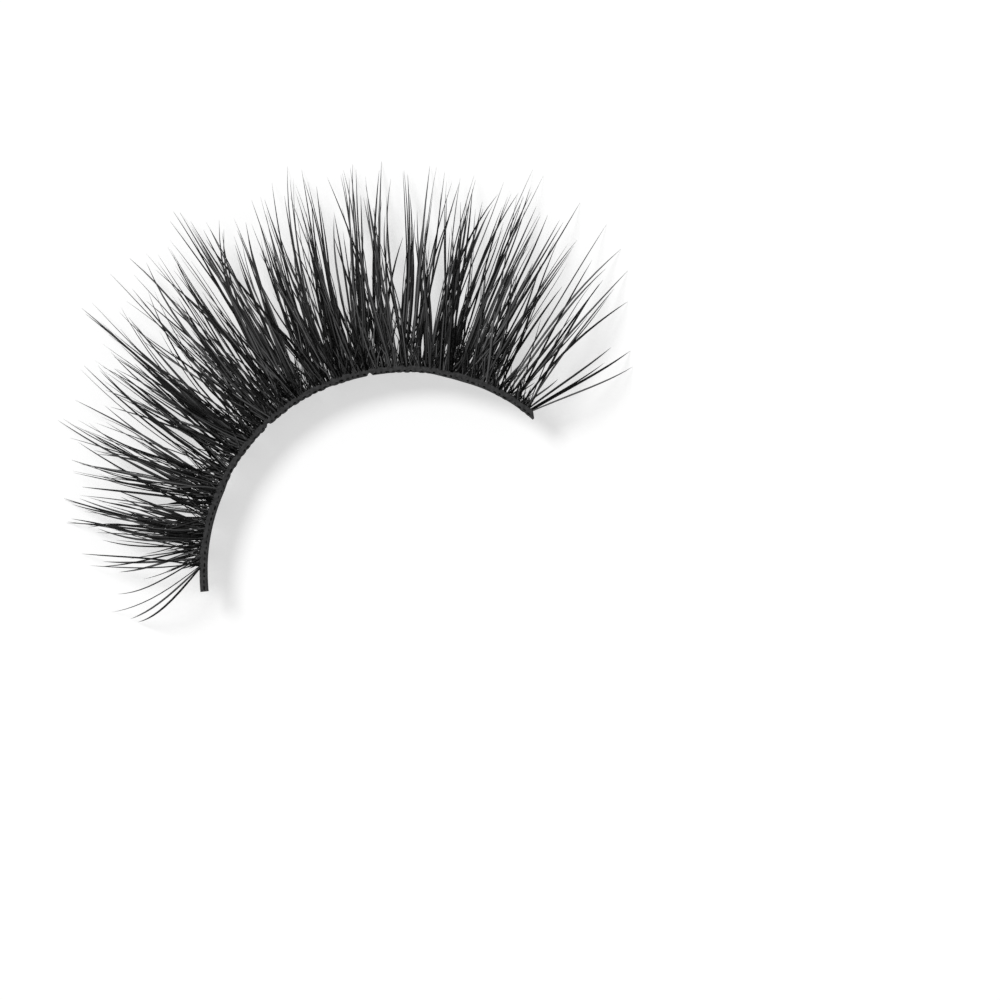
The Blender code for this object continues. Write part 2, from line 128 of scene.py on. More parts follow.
# Bunches of hair that lean towards the outer corner, with the same columns.
OUTER_SWEPT_BUNCHES = (
    (5.4, 6.2, 6.5, 54), (7.8, 9.9, 10.3, 58), (9.4, 10.4, 10.8, 60), (10.8, 12.2, 13.1, 65),
    (12.0, 12.9, 13.5, 58), (13.8, 15.2, 15.8, 44), (16.6, 18.4, 20.1, 66), (18.8, 20.4, 21.5, 78),
    (20.4, 21.2, 21.9, 76), (21.6, 23.9, 24.4, 75), (22.8, 24.2, 25.5, 62), (24.4, 25.8, 27.7, 80),
    (25.4, 26.8, 28.0, 68), (26.4, 27.2, 29.1, 74), (27.8, 29.0, 29.4, 76), (29.0, 30.6, 31.0, 70),
    (30.6, 32.2, 32.8, 92), (31.8, 32.9, 33.0, 95), (32.6, 33.5, 34.1, 93), (32.8, 33.4, 35.8, 82),
    (33.4, 35.0, 36.9, 62), (35.2, 37.0, 37.5, 96), (34.8, 36.0, 39.1, 78), (37.2, 38.2, 38.6, 66),
    (38.6, 40.1, 40.0, 95), (39.4, 40.6, 41.6, 92), (40.8, 41.7, 42.5, 88), (41.0, 41.9, 43.8, 82),
    (41.8, 42.6, 43.0, 62), (43.0, 44.2, 44.4, 90), (44.6, 46.1, 45.5, 97), (45.2, 46.1, 46.3, 100),
    (45.8, 46.4, 46.8, 98), (44.6, 45.8, 49.9, 86), (46.6, 47.6, 48.6, 88), (47.4, 48.5, 50.2, 73),
    (48.4, 50.2, 51.4, 84), (48.8, 50.4, 52.4, 80), (51.0, 52.5, 53.7, 76), (51.8, 53.0, 53.9, 88),
    (52.8, 54.0, 54.9, 88), (53.6, 54.9, 56.5, 92), (54.8, 56.4, 58.5, 97), (56.0, 57.2, 58.2, 78),
    (57.0, 58.4, 58.8, 88), (57.6, 58.9, 59.8, 94), (58.2, 59.6, 60.1, 88), (58.8, 60.2, 60.9, 85),
    (59.6, 60.6, 62.1, 70), (61.0, 61.8, 62.2, 72), (61.4, 63.0, 64.0, 74), (62.2, 63.6, 64.0, 90),
    (62.8, 64.2, 65.0, 92), (63.6, 64.8, 65.5, 78), (65.0, 66.3, 67.7, 88), (66.0, 67.0, 68.0, 92),
    (67.4, 68.2, 70.2, 58), (69.2, 70.4, 70.3, 88), (69.8, 70.8, 70.7, 86), (70.2, 71.1, 71.6, 66),
    (71.4, 72.6, 73.0, 90), (72.2, 73.1, 73.7, 90), (72.6, 74.0, 74.6, 88), (73.0, 74.2, 76.3, 84),
    (74.8, 76.4, 77.7, 88), (76.2, 77.2, 77.4, 80), (76.8, 77.8, 80.6, 82), (77.6, 79.2, 80.9, 88),
    (78.6, 79.9, 82.0, 84), (79.0, 80.2, 82.7, 85), (80.6, 82.7, 83.4, 97), (81.8, 83.4, 84.6, 96),
    (82.6, 83.9, 85.0, 82), (83.8, 84.9, 85.6, 80), (84.6, 85.6, 86.5, 80), (85.8, 87.1, 87.9, 80),
    (86.6, 88.0, 89.1, 91), (87.8, 88.8, 89.9, 72), (88.4, 89.6, 90.6, 70), (89.4, 90.4, 91.7, 54),
    (90.8, 91.8, 92.1, 40), (91.6, 92.2, 92.6, 88), (91.8, 93.3, 95.3, 82), (93.2, 94.2, 95.0, 46),
    (94.2, 95.2, 95.6, 66), (94.6, 95.9, 97.3, 76), (96.0, 96.9, 97.3, 62), (96.2, 97.2, 99.5, 65),
    (96.8, 97.8, 98.8, 19), (97.8, 100.2, 101.8, 45), (98.2, 101.2, 102.6, 38), (98.5, 101.9, 104.0, 50),
    (98.7, 103.3, 105.8, 46),
)

# Gaps of light that all hairs leave open, apart from each bunch's own line.
# Columns: place, half width in places, and the reaches that the gap runs between.
LIGHT_GAPS = (
    (12.3, 0.25, 19, 27), (14.0, 0.4, 24, 38), (14.8, 0.35, 7, 14), (16.5, 0.7, 17, 42),
    (18.4, 0.3, 24, 32), (24.3, 0.6, 18, 42), (26.7, 0.2, 11, 16), (27.2, 0.35, 16, 32),
    (30.1, 0.55, 16, 31), (34.7, 0.4, 26, 58), (35.3, 0.6, 17, 34), (42.5, 0.4, 23, 34),
    (45.0, 0.3, 31, 38), (49.7, 0.4, 15, 27), (51.2, 0.5, 26, 50), (60.5, 0.4, 24, 38),
    (61.8, 0.6, 29, 58), (65.3, 0.4, 30, 48), (69.5, 0.6, 30, 55), (71.8, 0.5, 18, 42),
    (73.7, 0.25, 5, 20), (75.2, 0.5, 19, 50), (79.2, 0.4, 21, 38), (81.6, 0.4, 22, 37),
    (91.2, 0.7, 10, 42), (92.4, 0.5, 20, 36), (95.1, 0.2, 3, 7), (6.7, 0.25, 4, 8), (9.6, 0.3, 8, 12),
    (10.4, 0.25, 4, 7), (12.3, 0.25, 4, 10), (20.3, 0.2, 7, 9), (22.6, 0.2, 3, 5), (28.7, 0.25, 6, 10),
    (30.2, 0.2, 4, 6), (33.5, 0.25, 7, 10), (38.5, 0.2, 11, 15), (42.5, 0.2, 3, 6), (50.1, 0.25, 5, 9),
    (54.8, 0.2, 5, 9), (59.5, 0.2, 4, 7), (66.2, 0.2, 3, 5), (69.2, 0.25, 5, 9), (78.4, 0.25, 11, 15),
    (83.3, 0.25, 7, 11), (87.0, 0.25, 14, 18), (90.2, 0.2, 3, 6), (93.0, 0.25, 5, 10),
)

# How full the bunches are by the place of their root: at 1 a bunch has the set number of strands, at 0 as
# many as at the corners.
FULLNESS = (
    (5.5, 0.1), (9, 0.12), (12, 1.7), (14.5, 0.9), (16, 0.1), (19, 0.5), (20.5, 2.0), (22, 1.1), (24, 0.3),
    (27.5, 0.3), (29.5, 1), (52, 1), (56, 1.35), (62, 1.3), (65, 1.1), (68, 1.2), (70, 0.7), (72, 0.8),
    (76, 0.9), (79, 1.2), (82, 1.0), (84, 0.9), (86.5, 0.6), (89, 0.2), (94, 0.25), (97, 0),
)

# How far the coat reaches inwards of the band's centre line by place, in millimetres.
COAT_EDGE = (
    (0, 0.38), (4, 0.385), (6, 0.375), (22, 0.365), (25.5, 0.23), (46, 0.205), (52, 0.215), (58, 0.28),
    (66, 0.28), (71, 0.22), (75, 0.215), (79, 0.305), (83, 0.33), (87, 0.285), (94, 0.265), (99, 0.28),
)

# Where the knots' middles lie inwards of the band's centre line by place, in millimetres.
KNOT_LINE = ((5, 0.17), (24, 0.195), (30, 0.16), (50, 0.155), (56, 0.17), (75, 0.15), (99, 0.17))

# Where the dark marks, painted shade in the pits between the knots, lie inwards of the band's centre line by
# place, in millimetres.
PIT_SHADE_LINE = (
    (0, 0.10), (4.5, 0.12), (9, 0.14), (22, 0.17), (27, 0.13), (52, 0.12), (60, 0.14), (82, 0.16),
    (99, 0.13),
)

# How far the strands of a bunch stand apart at its root, waist and tip, as shares of its width:
# first what they keep to one side all the way, then what they wander on their own, so that they cross.
BUNCH_SPREAD = ((0.25, 0.75), (0.5, 0.26), (0.45, 0.35))
NARROWEST_BUNCH = 0.45

# Stray hairs, from the least to the most: place of the root, how far the tip leans from it, reach as a part
# of the outline's, where the waist lies on the way to the tip, and how much more than others they stray in
# height
STRAY_ROOT = (8, 96.5)
STRAY_LEAN = (1.0, 4.2)
STRAY_REACH = (38, 88)
STRAY_WAIST = (0.5, 0.72)
STRAY_LIFT = 1.2

# Root hairs: place of the root, least reach and what it varies by, how far they lean for their reach, and how
# far they stray in height. Each corner has the place where the reach falls to nothing, and over how many
# places it does so.
ROOT_PLACES = (5.0, 97.6)
ROOT_REACH = 5
ROOT_REACH_SPAN = 25
ROOT_REACH_POWER = 1.5
ROOT_LEAN = (0.03, 0.22)
ROOT_WAIST = 0.55
ROOT_LIFT = LAYER_OFFSET * 1.6
INNER_FADE = (2, 9)
OUTER_FADE = (101, 14)

# Strands: where they leave the band as a share of its outer width, how little they sway at the bare corners,
# how much they wave beside their bow, and how far ahead of the root they start to stray in height
STRAND_START = 0.6
LEAST_SWAY = 0.3
WAVE_SHARE = 0.5
RISE_AHEAD = 0.12

# The least and the most that a strand's thickness is multiplied by, how late it tapers and to what, and how
# much it is pinched at the root and how soon that ends
HEFT = (0.6, 1.7)
TAPER_POWER = 4.2
TIP_THICKNESS = 0.07
ROOT_PINCH = 0.25
PINCH_RATE = 4

# How often a strand is drawn that would run through a gap of light, before it is left out
TRIES_PER_STRAND = 10
GAPS = np.array(LIGHT_GAPS)

# Points along a guide line, along a root hair's, along a strand that is tested for gaps, and along the knots'
GUIDE_POINTS = 14
ROOT_GUIDE_POINTS = 8
GAP_POINTS = 24
KNOT_GUIDE_POINTS = 400

# What each kind of piece adds to the seed of its random draws
INNER_SEED = 10
PIT_SHADE_SEED = 20
OUTER_SEED = 30
STRAY_SEED = 50
ROOT_SEED = 70

# The hair's finish: its grain, and what a strand's tone, the grain and the way to the tip add to its grey;
# the tone's lighter greys are a painted sheen
HAIR_GRAIN = 9000.0
SHEEN_TONE_POWER = 2.5
SHEEN_TONE_SHARE = 0.8
GRAIN_SHARE = 0.4
TIP_SHARE = 0.16
HAIR_RELIEF = {"Strength": 0.15, "Distance": 0.01 * MM}

# How much the roughness of hair and coat varies with their grain
ROUGHNESS_SWING = 0.2

# The coat's finish: how fine its mottle and its flecks are, the flecks' detail and roughness, how strongly
# both show, the grey that they vary about, and how rough the surface is at the least
THREAD_MOTTLE = 4200.0
THREAD_FLECKS = THREAD_MOTTLE * 2.6
KNOT_MOTTLE = 5000.0
KNOT_FLECKS = 14000.0
FLECK_NOISE = (2.0, 0.5)
FLECK_LEVEL = 0.64
FLECK_STRENGTH = 0.8
MOTTLE_CONTRAST = 2.2
KNOT_MIX = (0.7, 0.5)
RIB_SHARE = 0.4
THREAD_GREY = 0.42
KNOT_GREY = 0.45
THREAD_ROUGHNESS = 0.62
KNOT_ROUGHNESS = 0.6
COAT_RELIEF = 0.03 * MM

# The band's cross section: points around it, how square it is across and upright, its groove's width and
# middle, how far up the side the groove starts, and how much deeper it is in the tail
BAND_SIDES = 24
ACROSS_POWER = 0.55
UPRIGHT_POWER = 0.7
GROOVE_WIDTH = 0.05 * MM
GROOVE_MIDDLE = -0.4 * BAND_INNER_WIDTH
GROOVE_FROM = 0.2
TAIL_GROOVE = 1.6

# The waves of the band's outer edge: length, share and lag of each, and their height together
EDGE_WAVES = ((0.9 * MM, 0.4, 0.0), (0.37 * MM, 0.6, 1.3))
EDGE_WANDER = 0.012 * MM

# The places between which the band's flecks grow in, the flat share of a nick's bottom, and how much of the
# outer width is left where the outer corner starts
WORN_BETWEEN = (58, 66)
NICK_FLAT = 0.3
CORNER_TAPER = 0.8

# The knots and the dark marks of painted shade in the pits: their form, how far they shift and how uneven
# they are
KNOT_FORM = {
    "Half Length": 0.36 * MM,
    "Half Width": 0.13 * MM,
    "Half Height": KNOT_THICKNESS * 0.56,
    "Shift": 0.03 * MM,
    "Unevenness": 0.3,
}
PIT_SHADE_FORM = {
    "Half Length": 0.17 * MM,
    "Half Width": 0.062 * MM,
    "Half Height": 0.1 * MM,
    "Shift": 0.035 * MM,
    "Unevenness": 0.7,
}
PIT_SHADES_PER_KNOT = 1.3
SHIFT_UPWARDS = 0.5


def read_table(rows, x):
    """The second column's value at x, on straight lines between the rows."""
    return np.interp(x, [row[0] for row in rows], [row[1] for row in rows])


def on_arc(place, out, height=0.0):
    """Points at places along the band, distances out from its centre line, and heights."""
    angle = START_ANGLE - SWEEP * np.asarray(place, float) / 100
    radius = BEND_RADIUS + np.asarray(out, float)
    flat = np.broadcast_arrays(ARC_X + radius * np.cos(angle), ARC_Y + radius * np.sin(angle), height)
    return np.stack(flat, axis=-1)


def curl_height(place, out):
    """Height of the sheet that the lashes follow: a slight rise off the band, then down to the surface."""
    reach = read_table(REACH_OUTLINE, place) * LONGEST_REACH
    drop = (BAND_MIDDLE + RISE_SLOPE * reach) / reach**2
    return BAND_MIDDLE + RISE_SLOPE * out - drop * out**2


def place_of(length):
    """The place at a length along the band."""
    return 100 * length / BAND_LENGTH


class Flow:
    """What a socket gives. Sums and products on it add Math nodes to its sheet."""

    def __init__(self, sheet, socket):
        self.sheet = sheet
        self.socket = socket

    def math(self, operation, *others):
        return self.sheet.math(operation, self, *others)

    def __add__(self, other):
        return self.math("ADD", other)

    def __mul__(self, other):
        return self.math("MULTIPLY", other)

    def __sub__(self, other):
        return self.math("SUBTRACT", other)

    def __rsub__(self, other):
        return self.sheet.math("SUBTRACT", other, self)

    def __truediv__(self, other):
        return self.math("DIVIDE", other)

    def __pow__(self, other):
        return self.math("POWER", other)

    __radd__ = __add__
    __rmul__ = __mul__


class Sheet:
    """A node tree being laid out: settings go on a node first, then values or links on its sockets."""

    def __init__(self, tree):
        self.tree = tree

    def add(self, kind, settings=None, values=None):
        node = self.tree.nodes.new(kind)
        for name, value in (settings or {}).items():
            setattr(node, name, value)
        for key, value in (values or {}).items():
            self.feed(pick(node.inputs, key), value)
        return node

    def feed(self, socket, value):
        if isinstance(value, Flow):
            self.tree.links.new(value.socket, socket)
        else:
            socket.default_value = value

    def get(self, kind, settings=None, values=None, output=0):
        return Flow(self, pick(self.add(kind, settings, values).outputs, output))

    def math(self, operation, *values):
        return self.get("ShaderNodeMath", {"operation": operation}, dict(enumerate(values)))

    def vector(self, operation, **values):
        return self.get("ShaderNodeVectorMath", {"operation": operation}, values)

    def named(self, name, kind="FLOAT"):
        return self.get("GeometryNodeInputNamedAttribute", {"data_type": kind}, {"Name": name}, "Attribute")

    def keep(self, geometry, name, value, domain="POINT"):
        settings = {"data_type": "FLOAT", "domain": domain}
        values = {"Geometry": geometry, "Name": name, "Value": value}
        return self.get("GeometryNodeStoreNamedAttribute", settings, values)

    def random(self, low, high, seed):
        values = {"Min": low, "Max": high, "Seed": seed}
        return self.get("FunctionNodeRandomValue", {"data_type": "FLOAT"}, values, "Value")


def pick(sockets, key):
    """A socket by its number, or the one in use that has the name."""
    if isinstance(key, int):
        return sockets[key]
    for socket in sockets:
        if socket.enabled and socket.name == key:
            return socket
    raise KeyError(f"no socket named {key!r} among {[socket.name for socket in sockets]}")


def geometry_sheet(name, inputs):
    """A new Geometry Nodes tree with named inputs, as a sheet and the flow of each input."""
    tree = bpy.data.node_groups.new(name, "GeometryNodeTree")
    tree.interface.new_socket(name="Geometry", in_out="INPUT", socket_type="NodeSocketGeometry")
    for title, kind in inputs:
        tree.interface.new_socket(name=title, in_out="INPUT", socket_type=kind)
    tree.interface.new_socket(name="Geometry", in_out="OUTPUT", socket_type="NodeSocketGeometry")
    sheet = Sheet(tree)
    entry = sheet.add("NodeGroupInput")
    return sheet, {socket.name: Flow(sheet, socket) for socket in entry.outputs if socket.name}


def close_sheet(sheet, geometry, material):
    """Ends a geometry tree in real geometry with its material."""
    real = sheet.get("GeometryNodeRealizeInstances", values={"Geometry": geometry})
    dressed = sheet.get("GeometryNodeSetMaterial", values={"Geometry": real, "Material": material})
    sheet.add("NodeGroupOutput", values={"Geometry": dressed})


def grow(piece, tree, values):
    """Runs a geometry tree on a piece with its inputs set, and keeps the result as the piece's plain mesh."""
    modifier = piece.modifiers.new(tree.name, "NODES")
    sockets = {item.name: item.identifier for item in tree.interface.items_tree if item.in_out == "INPUT"}
    modifier.node_group = tree
    for title, value in values.items():
        modifier[sockets[title]] = value
    bpy.context.view_layer.update()
    graph = bpy.context.evaluated_depsgraph_get()
    grown = bpy.data.meshes.new_from_object(
        piece.evaluated_get(graph), preserve_all_data_layers=True, depsgraph=graph
    )
    piece.modifiers.remove(modifier)
    piece.data = grown
    if not grown.polygons:
        raise RuntimeError(f"{piece.name} grew no faces")
    return piece


def new_piece(name, mesh):
    piece = bpy.data.objects.new(name, mesh)
    bpy.context.scene.collection.objects.link(piece)
    return piece


def join_to_strip(piece, slot, *nodes):
    """The piece rides on the strip and stands for CAD nodes. The slot is not used."""
    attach(piece, BODY)
    if nodes:
        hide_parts(*nodes)


def store(mesh, name, kind, values):
    """Keeps a value for each point of a mesh."""
    field = "vector" if kind == "FLOAT_VECTOR" else "value"
    layer = mesh.attributes.new(name, kind, "POINT")
    layer.data.foreach_set(field, np.ascontiguousarray(values).ravel())


def place_at(strand, share):
    """The place along the band of a strand, bent evenly through its root, waist and tip."""
    root, waist, tip = strand[:3]
    bend = 2 * root - 4 * waist + 2 * tip
    lean = -3 * root + 4 * waist - tip
    return root + lean * share + bend * share**2


def hair_path(strand, points):
    """A strand's centre line in plan as places and distances out, with its shares of the way."""
    share = np.linspace(0, 1, points)
    start = BAND_OUTER_WIDTH * STRAND_START
    out = start + (strand[3] / 100 * LONGEST_REACH - start) * share
    return place_at(strand, share), out, share


def crosses_gap(strand):
    """True if a strand runs through one of the gaps of light."""
    place, out, _share = hair_path(strand, GAP_POINTS)
    reach = 100 * out / LONGEST_REACH
    middle, half, near, far = GAPS.T[:, :, None]
    beside = (place - middle) / half
    beyond = (2 * reach - near - far) / (far - near)
    return bool(np.any(beside**2 + beyond**2 < 1))


def thinned(least, place):
    """A share that is whole where the strip is full, and falls to its least where it is bare."""
    return least + (1 - least) * min(read_table(FULLNESS, place), 1)


def strands_of(bunches, look, draws):
    """The strands of each bunch: one on its line to its full reach, the others beside it and shorter."""
    strands = []
    for bunch in bunches:
        strands.append(bunch)
        fullness = read_table(FULLNESS, bunch[0])
        wanted = look.corner_strands + (look.strands - look.corner_strands) * fullness
        half = place_of(look.bunch_width) / 2 * thinned(NARROWEST_BUNCH, bunch[0])
        for _ in range(round(wanted) - 1):
            for _ in range(TRIES_PER_STRAND):
                strand = strand_beside(bunch, half, look.shortest, draws)
                if not crosses_gap(strand):
                    strands.append(strand)
                    break
    return strands


def strand_beside(bunch, half, shortest, draws):
    """A strand that starts beside a bunch's line, wanders across it and stops short of its end."""
    aside = draws.uniform(-1, 1)
    moved = []
    for at, (kept, own) in zip(bunch[:3], BUNCH_SPREAD):
        moved.append(at + half * (aside * kept + draws.uniform(-1, 1) * own))
    part = 1 - (1 - shortest) * draws.uniform(0, 1)
    return moved[0], place_at(moved, part / 2), place_at(moved, part), bunch[3] * part


def stray_strands(look, draws):
    """Single hairs between the bunches, of middling reach, that leave the gaps of light open."""
    strands = []
    while len(strands) < look.stray_hairs:
        root = draws.uniform(*STRAY_ROOT)
        lean = draws.choice((-1, 1)) * draws.uniform(*STRAY_LEAN)
        tip = root + lean
        reach = draws.uniform(*STRAY_REACH) * read_table(REACH_OUTLINE, tip)
        strand = (root, root + lean * draws.uniform(*STRAY_WAIST), tip, reach)
        if not crosses_gap(strand):
            strands.append(strand)
    return strands


def root_strands(look, draws):
    """Short hairs that lean both ways, shorter at the corners, and leave the gaps of light open."""
    strands = []
    while len(strands) < look.root_hairs:
        root = draws.uniform(*ROOT_PLACES)
        fade = min((root - INNER_FADE[0]) / INNER_FADE[1], (OUTER_FADE[0] - root) / OUTER_FADE[1], 1)
        reach = (ROOT_REACH + ROOT_REACH_SPAN * draws.uniform(0, 1) ** ROOT_REACH_POWER) * fade
        lean = draws.choice((-1, 1)) * reach * draws.uniform(*ROOT_LEAN)
        strand = (root, root + lean * ROOT_WAIST, root + lean, reach)
        if not crosses_gap(strand):
            strands.append(strand)
    return strands


def guide_mesh(name, strands, offset, points, lift):
    """A guide line for each strand, with its sideways direction and how far it may stray in height."""
    lines = []
    across = []
    rise = []
    for strand in strands:
        place, out, share = hair_path(strand, points)
        height = np.maximum(curl_height(place, out) + offset * (1 - share), 0.0)
        line = on_arc(place, out, height)
        along = np.gradient(line, axis=0)
        side = np.stack([along[:, 1], -along[:, 0], 0 * share], axis=-1)
        lines.append(line)
        sway = thinned(LEAST_SWAY, strand[0])
        across.append(sway * side / np.linalg.norm(side, axis=1, keepdims=True))
        rise.append(lift * np.sin(math.pi * np.minimum(share + RISE_AHEAD, 1)))
    edges = [(i * points + k, i * points + k + 1) for i in range(len(strands)) for k in range(points - 1)]
    mesh = bpy.data.meshes.new(name)
    mesh.from_pydata(np.concatenate(lines).tolist(), edges, [])
    store(mesh, "across", "FLOAT_VECTOR", np.concatenate(across))
    store(mesh, "rise", "FLOAT", np.concatenate(rise))
    return mesh


def strand_tree():
    """Geometry Nodes that turn each guide line into a tapered, slightly bowed strand."""
    sheet, given = geometry_sheet(
        "strands_on_guides",
        (
            ("Strand Thickness", "NodeSocketFloat"),
            ("Bow", "NodeSocketFloat"),
            ("Points", "NodeSocketInt"),
            ("Sides", "NodeSocketInt"),
            ("Seed", "NodeSocketInt"),
            ("Material", "NodeSocketMaterial"),
        ),
    )
    seed = given["Seed"]
    curve = sheet.get("GeometryNodeMeshToCurve", values={"Mesh": given["Geometry"]})
    either = (-1.0, 1.0)
    # Each strand's tone, drawn here, sets how much painted sheen its colour gets
    varied = {"bowed": either, "waved": either, "raised": either, "heft": HEFT, "sheen_tone": (0.0, 1.0)}
    for step, (name, limits) in enumerate(varied.items(), 1):
        curve = sheet.keep(curve, name, sheet.random(*limits, seed + step), "CURVE")
    values = {"Curve": curve, "Count": given["Points"]}
    curve = sheet.get("GeometryNodeResampleCurve", {"mode": "COUNT"}, values)
    factor = sheet.get("GeometryNodeSplineParameter", output="Factor")
    arch = (factor * math.pi).math("SINE")
    wave = (factor * (2 * math.pi)).math("SINE")
    aside = (sheet.named("bowed") * arch + sheet.named("waved") * wave * WAVE_SHARE) * given["Bow"]
    sideways = sheet.vector("SCALE", Vector=sheet.named("across", "FLOAT_VECTOR"), Scale=aside)
    upwards = sheet.get("ShaderNodeCombineXYZ", values={"Z": sheet.named("raised") * sheet.named("rise")})
    offset = sheet.get("ShaderNodeVectorMath", {"operation": "ADD"}, {0: sideways, 1: upwards})
    curve = sheet.get("GeometryNodeSetPosition", values={"Geometry": curve, "Offset": offset})
    pinch = (1 - factor * PINCH_RATE).math("MAXIMUM", 0) * ROOT_PINCH
    taper = (1 - factor**TAPER_POWER) * (1 - TIP_THICKNESS) + TIP_THICKNESS - pinch
    radius = given["Strand Thickness"] * 0.5 * sheet.named("heft") * taper
    at = sheet.add("ShaderNodeSeparateXYZ", values={0: sheet.get("GeometryNodeInputPosition")})
    height = Flow(sheet, at.outputs["Z"]).math("MAXIMUM", radius)
    values = {"X": Flow(sheet, at.outputs["X"]), "Y": Flow(sheet, at.outputs["Y"]), "Z": height}
    above = sheet.get("ShaderNodeCombineXYZ", values=values)
    curve = sheet.get("GeometryNodeSetPosition", values={"Geometry": curve, "Position": above})
    curve = sheet.keep(curve, "along", factor)
    values = {"Resolution": given["Sides"], "Radius": 1.0}
    ring = sheet.get("GeometryNodeCurvePrimitiveCircle", {"mode": "RADIUS"}, values)
    values = {"Curve": curve, "Profile Curve": ring, "Scale": radius, "Fill Caps": True}
    tubes = sheet.get("GeometryNodeCurveToMesh", values=values)
    smooth = sheet.get("GeometryNodeSetShadeSmooth", values={"Geometry": tubes, "Shade Smooth": True})
    close_sheet(sheet, smooth, given["Material"])
    return sheet.tree


def knot_tree():
    """Geometry Nodes that set rounded knots along a guide line, leaving out the missing ones."""
    sheet, given = geometry_sheet(
        "knots_on_guide",
        (
            ("Count", "NodeSocketInt"),
            ("Half Length", "NodeSocketFloat"),
            ("Half Width", "NodeSocketFloat"),
            ("Half Height", "NodeSocketFloat"),
            ("Shift", "NodeSocketFloat"),
            ("Unevenness", "NodeSocketFloat"),
            ("Seed", "NodeSocketInt"),
            ("Material", "NodeSocketMaterial"),
        ),
    )
    seed = given["Seed"]
    line = sheet.get("GeometryNodeMeshToCurve", values={"Mesh": given["Geometry"]})
    values = {"Curve": line, "Count": given["Count"]}
    spots = sheet.add("GeometryNodeCurveToPoints", {"mode": "COUNT"}, values)
    values = {"Vector": Flow(sheet, spots.outputs["Tangent"])}
    turn = sheet.get("FunctionNodeAlignRotationToVector", {"axis": "X", "pivot_axis": "Z"}, values)
    missing = sheet.named("missing").math("GREATER_THAN", 0.5)
    values = {"Geometry": Flow(sheet, spots.outputs["Points"]), "Selection": missing}
    kept = sheet.get("GeometryNodeDeleteGeometry", {"domain": "POINT"}, values)
    shift = given["Shift"]
    wander = {
        "X": sheet.random(-1.0, 1.0, seed + 1) * shift,
        "Y": sheet.random(-1.0, 1.0, seed + 2) * shift,
        "Z": sheet.random(-1.0, 1.0, seed + 3) * shift * SHIFT_UPWARDS,
    }
    values = {"Geometry": kept, "Offset": sheet.get("ShaderNodeCombineXYZ", values=wander)}
    kept = sheet.get("GeometryNodeSetPosition", values=values)
    uneven = given["Unevenness"]
    size = {
        "X": given["Half Length"] * (1 - uneven * sheet.random(0.0, 1.0, seed + 4)),
        "Y": given["Half Width"] * (1 - uneven * sheet.random(0.0, 1.0, seed + 5)),
        "Z": given["Half Height"] * (1 - uneven * sheet.random(0.0, 1.0, seed + 6)),
    }
    knot = sheet.get("GeometryNodeMeshUVSphere", values={"Segments": 10, "Rings": 6, "Radius": 1.0})
    values = {
        "Points": kept,
        "Instance": knot,
        "Rotation": turn,
        "Scale": sheet.get("ShaderNodeCombineXYZ", values=size),
    }
    knots = sheet.get("GeometryNodeInstanceOnPoints", values=values)
    smooth = sheet.get("GeometryNodeSetShadeSmooth", values={"Geometry": knots, "Shade Smooth": True})
    close_sheet(sheet, smooth, given["Material"])
    return sheet.tree


def shader_sheet(name):
    """A new material's emptied node tree as a sheet, and the material."""
    material = bpy.data.materials.new(name)
    material.use_nodes = True
    material.node_tree.nodes.clear()
    return Sheet(material.node_tree), material


def speckle(sheet, scale, detail=3.0, rough=0.6):
    """Noise over the piece's own coordinates."""
    where = sheet.get("ShaderNodeTexCoord", output="Object")
    values = {"Vector": where, "Scale": scale, "Detail": detail, "Roughness": rough}
    return sheet.get("ShaderNodeTexNoise", values=values)


def between(sheet, share, low, high):
    """A colour between two, by a share."""
    node = sheet.add("ShaderNodeMix", {"data_type": "RGBA"}, {"Factor": share})
    sheet.feed(pick(node.inputs, "A"), (*low, 1.0))
    sheet.feed(pick(node.inputs, "B"), (*high, 1.0))
    return Flow(sheet, pick(node.outputs, "Result"))


def close_shader(sheet, constants, **values):
    """The Principled shader and the material's output."""
    titles = {name.replace("_", " "): value for name, value in values.items()}
    shader = sheet.get("ShaderNodeBsdfPrincipled", values={**constants, **titles})
    sheet.add("ShaderNodeOutputMaterial", values={"Surface": shader})


def hair_material(look):
    """Black satin fibre: each strand has its own depth of black, lightened by a painted sheen, a little
    greyer out to its point.
    """
    sheet, material = shader_sheet("hair_fibre")
    sheen_tone = sheet.get("ShaderNodeAttribute", {"attribute_name": "sheen_tone"}, output="Fac")
    along = sheet.get("ShaderNodeAttribute", {"attribute_name": "along"}, output="Fac")
    grain = speckle(sheet, HAIR_GRAIN)
    # A strand's tone pulls its colour towards the light colour: a painted sheen that stands in for the
    # strands' highlights
    share = sheen_tone**SHEEN_TONE_POWER * SHEEN_TONE_SHARE + (grain - 0.5) * GRAIN_SHARE + along * TIP_SHARE
    colour = between(sheet, share.math("MAXIMUM", 0.0), look.deep_colour, look.painted_sheen_colour)
    bump = sheet.get("ShaderNodeBump", values={**HAIR_RELIEF, "Height": grain})
    roughness = look.roughness + (grain - 0.5) * ROUGHNESS_SWING
    constants = {"Specular IOR Level": look.specular}
    close_shader(sheet, constants, Base_Color=colour, Roughness=roughness, Normal=bump)
    return material


def close_coat(sheet, look, share, bump, roughness):
    """Ends the shader of coated thread: charcoal by a share, with its relief."""
    level = share.math("MAXIMUM", 0.0).math("MINIMUM", 1.0)
    colour = between(sheet, level, look.dark_colour, look.light_colour)
    relief = sheet.get("ShaderNodeBump", values={"Distance": COAT_RELIEF, **bump})
    constants = {"Specular IOR Level": look.specular}
    close_shader(sheet, constants, Base_Color=colour, Roughness=roughness, Normal=relief)


